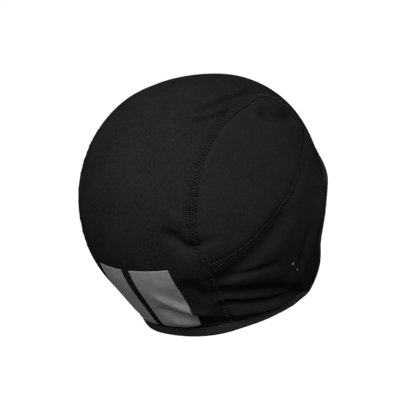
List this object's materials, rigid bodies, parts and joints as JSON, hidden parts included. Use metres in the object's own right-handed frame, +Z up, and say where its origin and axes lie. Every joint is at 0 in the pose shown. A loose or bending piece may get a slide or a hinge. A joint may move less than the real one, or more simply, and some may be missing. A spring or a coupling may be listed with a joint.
{
  "type": "skull cap",
  "caption": "Close-fitting stretch jersey skull cap with side panels, ear panels, flatlock seams, a turned hem and two reflective bars at the nape",
  "frame": {"origin": "the point on the crown's inner face, on the middle plane, where the top of the head carries the cap", "axes": "+Z up, -Y where the wearer faces, -X the wearer's right"},
  "size_m": [0.1654, 0.193, 0.1709],
  "materials": {
    "jersey": "matte black brushed stretch jersey",
    "hem_jersey": "the same jersey turned double and topstitched",
    "seam_thread": "dark grey polyester flatlock thread",
    "reflective_film": "grey heat-bonded reflective film"
  },
  "bodies": {
    "root": {"crown_panel": "jersey", "side_panel_right": "jersey", "side_panel_left": "jersey", "ear_panel_right": "jersey", "ear_panel_left": "jersey", "hem": "hem_jersey", "crown_flatlock_right": "seam_thread", "crown_flatlock_left": "seam_thread", "side_flatlock_right": "seam_thread", "side_flatlock_left": "seam_thread", "reflective_bar_right": "reflective_film", "reflective_bar_left": "reflective_film"}
  },
  "joints": []
}
